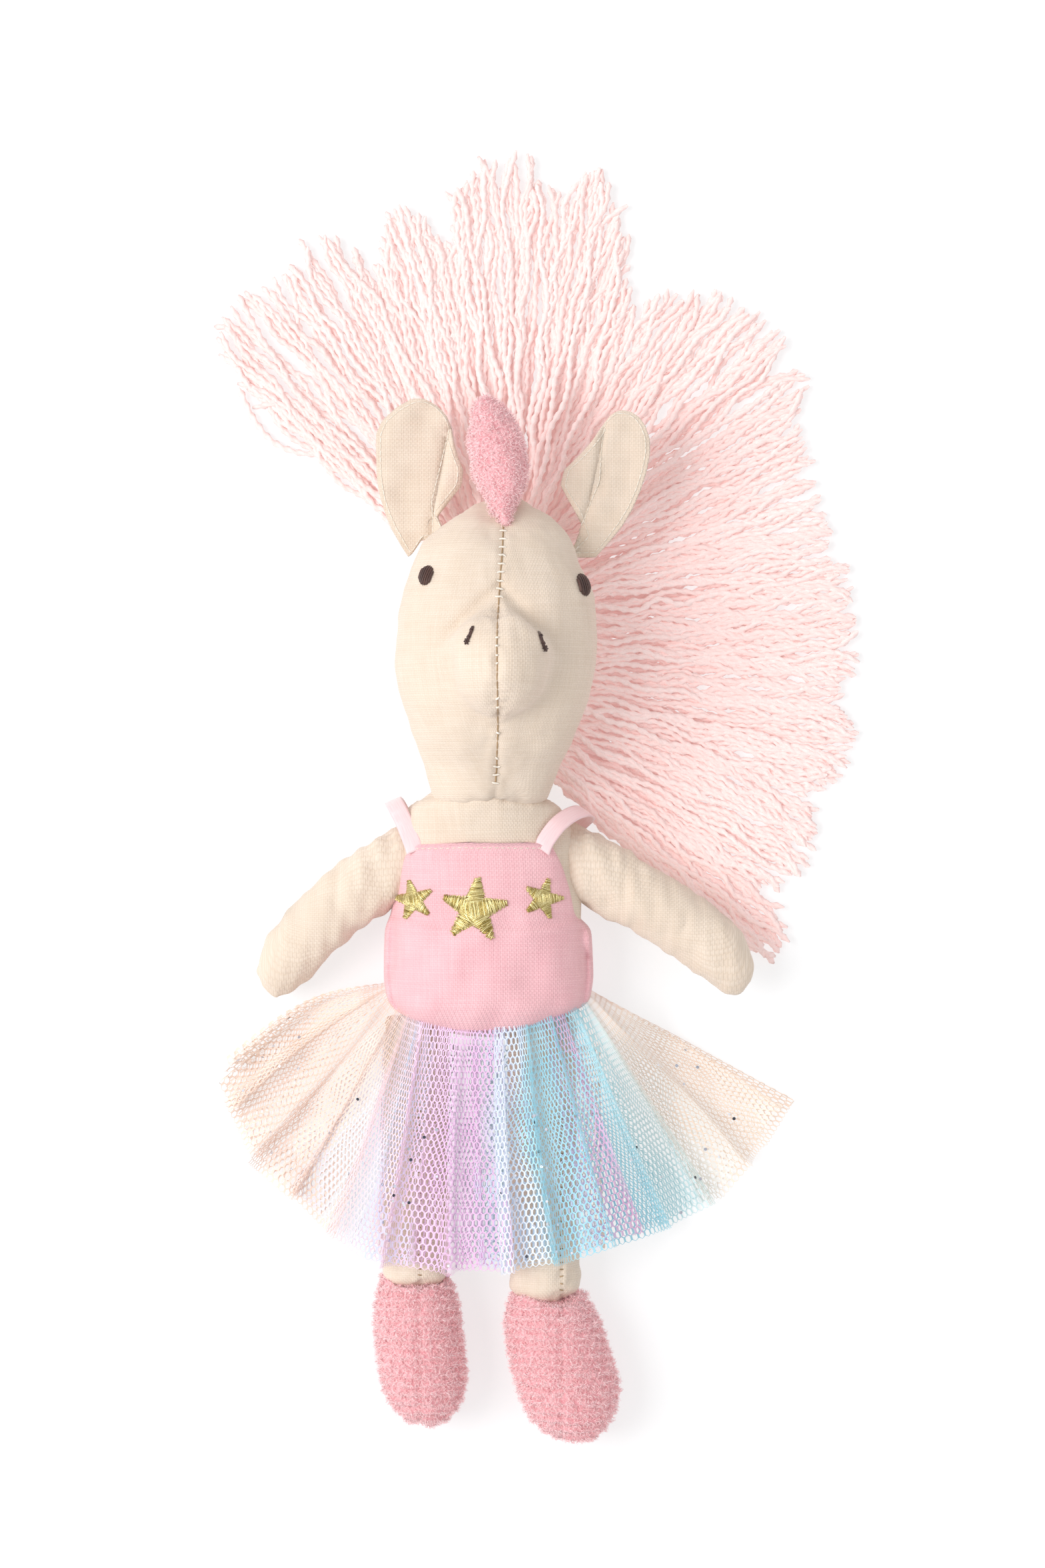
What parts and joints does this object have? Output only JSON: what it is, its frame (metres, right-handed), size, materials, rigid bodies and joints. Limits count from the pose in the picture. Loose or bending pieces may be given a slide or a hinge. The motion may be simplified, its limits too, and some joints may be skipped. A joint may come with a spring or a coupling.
{
  "type": "plush unicorn",
  "caption": "Sewn plush unicorn lying on its back: calico body, terry horn and boots, fanned yarn mane, cotton bodice with straps and a gathered net skirt; head, ears, arms and legs fold.",
  "frame": {"origin": "on the resting surface, on the flat of the dress's back, under the middle of the torso", "axes": "+Z out of the belly and face, +Y from the feet towards the head, +X towards the viewer's right when seen from the front; left and right in the names are as seen from the front"},
  "size_m": [0.1672, 0.325, 0.0578],
  "materials": {
    "calico": "unbleached plain weave cotton, matt",
    "polyester_filling": "loose hollow-fibre stuffing",
    "pink_cotton": "plain weave cotton with a soft slub, matt",
    "pink_terry": "looped terry pile, fuzzy",
    "satin_ribbon": "woven satin, soft sheen",
    "gold_thread": "metallised embroidery thread, bright",
    "brown_thread": "satin-stitched embroidery thread",
    "mane_yarn": "two-ply twisted yarn, soft",
    "rainbow_tulle": "hexagonal nylon net in bands of peach, pink, orchid, lavender, aqua, with glitter dots"
  },
  "bodies": {
    "torso": {"bodice_back": "pink_cotton", "bodice_front": "pink_cotton", "mane_lock_shoulder_lower": "mane_yarn", "mane_lock_shoulder_upper": "mane_yarn", "skirt_back": "rainbow_tulle", "skirt_side_left": "rainbow_tulle", "skirt_side_right": "rainbow_tulle", "star_centre": "gold_thread", "star_left": "gold_thread", "star_right": "gold_thread", "strap_left": "satin_ribbon", "strap_right": "satin_ribbon", "torso_back_panel": "calico", "torso_front_panel": "calico", "torso_stuffing": "polyester_filling"},
    "head": {"eye_left": "brown_thread", "eye_right": "brown_thread", "head_panel_left": "calico", "head_panel_right": "calico", "head_stuffing": "polyester_filling", "horn_cover": "pink_terry", "horn_stuffing": "polyester_filling", "mane_lock_crown": "mane_yarn", "mane_lock_left": "mane_yarn", "mane_lock_right_top": "mane_yarn", "mane_lock_right_upper": "mane_yarn", "mane_lock_upper_left": "mane_yarn", "mane_lock_upper_right": "mane_yarn", "mane_weft": "mane_yarn", "nostril_left": "brown_thread", "nostril_right": "brown_thread"},
    "mane_side": {"mane_lock_right_middle": "mane_yarn", "mane_lock_right_lower": "mane_yarn"},
    "ear_left": {"ear_left_back": "calico", "ear_left_front": "calico"},
    "ear_right": {"ear_right_back": "calico", "ear_right_front": "calico"},
    "arm_left": {"arm_left_cover": "calico", "arm_left_stuffing": "polyester_filling"},
    "arm_right": {"arm_right_cover": "calico", "arm_right_stuffing": "polyester_filling"},
    "leg_left": {"boot_left_cover": "pink_terry", "boot_left_stuffing": "polyester_filling", "leg_left_cover": "calico", "leg_left_stuffing": "polyester_filling", "skirt_front_left": "rainbow_tulle"},
    "leg_right": {"boot_right_cover": "pink_terry", "boot_right_stuffing": "polyester_filling", "leg_right_cover": "calico", "leg_right_stuffing": "polyester_filling", "skirt_front_right": "rainbow_tulle"}
  },
  "joints": [
    {"name": "neck_nod", "type": "hinge", "parent": "torso", "child": "head", "pos_m": [0, 0.0362, 0.033], "axis": [1, 0, 0], "range_deg": [0, 35]},
    {"name": "shoulder_left_lift", "type": "hinge", "parent": "torso", "child": "arm_left", "pos_m": [-0.0295, 0.017, 0.02], "axis": [0, 1, 0], "range_deg": [0, 120]},
    {"name": "shoulder_right_lift", "type": "hinge", "parent": "torso", "child": "arm_right", "pos_m": [0.0295, 0.017, 0.02], "axis": [0, -1, 0], "range_deg": [0, 120]},
    {"name": "hip_left_lift", "type": "hinge", "parent": "torso", "child": "leg_left", "pos_m": [-0.0178, -0.031, 0.019], "axis": [-1, 0, 0], "range_deg": [0, 85]},
    {"name": "hip_right_lift", "type": "hinge", "parent": "torso", "child": "leg_right", "pos_m": [0.0139, -0.031, 0.019], "axis": [-1, 0, 0], "range_deg": [0, 85]},
    {"name": "ear_left_fold", "type": "hinge", "parent": "head", "child": "ear_left", "pos_m": [-0.0128, 0.1031, 0.0239], "axis": [0.5821, 0.8131, 0], "range_deg": [0, 45]},
    {"name": "ear_right_fold", "type": "hinge", "parent": "head", "child": "ear_right", "pos_m": [0.0224, 0.1033, 0.0239], "axis": [0.4129, -0.9108, 0], "range_deg": [0, 45]},
    {"name": "mane_side_lift", "type": "hinge", "parent": "head", "child": "mane_side", "pos_m": [0.0306, 0.07, 0.0042], "axis": [0, -1, 0], "range_deg": [0, 70]}
  ]
}
